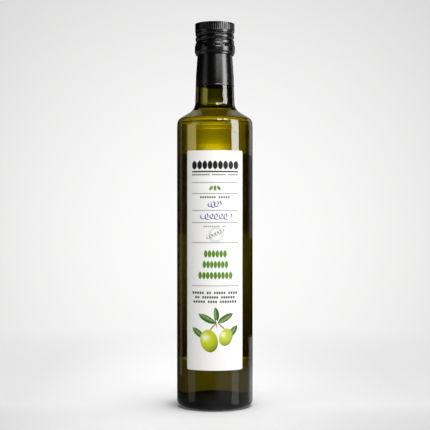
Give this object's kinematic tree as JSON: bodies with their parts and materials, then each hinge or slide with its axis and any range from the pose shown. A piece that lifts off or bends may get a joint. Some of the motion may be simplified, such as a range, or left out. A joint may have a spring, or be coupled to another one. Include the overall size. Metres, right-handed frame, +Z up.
{
  "type": "olive oil bottle",
  "caption": "Tall round bottle of dark glass, full of olive oil, with a sloping shoulder, a long neck in a sleeve, a rolled aluminium screw cap and tall paper labels.",
  "frame": {"origin": "centre of the base, on the surface that the bottle stands on", "axes": "+Z up along the bottle's axis; the front label faces -Y, with +X on the right of somebody looking at it"},
  "size_m": [0.06, 0.0606, 0.303],
  "materials": {
    "dark_glass": "smooth, dark olive brown",
    "olive_oil": "clear golden green oil, seen through the glass",
    "sleeve_film": "black film, satin",
    "lacquered_aluminium": "black lacquer, satin gloss",
    "label_paper": "white coated paper"
  },
  "bodies": {
    "root": {"bottle_glass": "dark_glass", "olive_oil": "olive_oil", "neck_sleeve": "sleeve_film", "screw_cap": "lacquered_aluminium", "front_label": "label_paper", "back_label": "label_paper"}
  },
  "joints": []
}
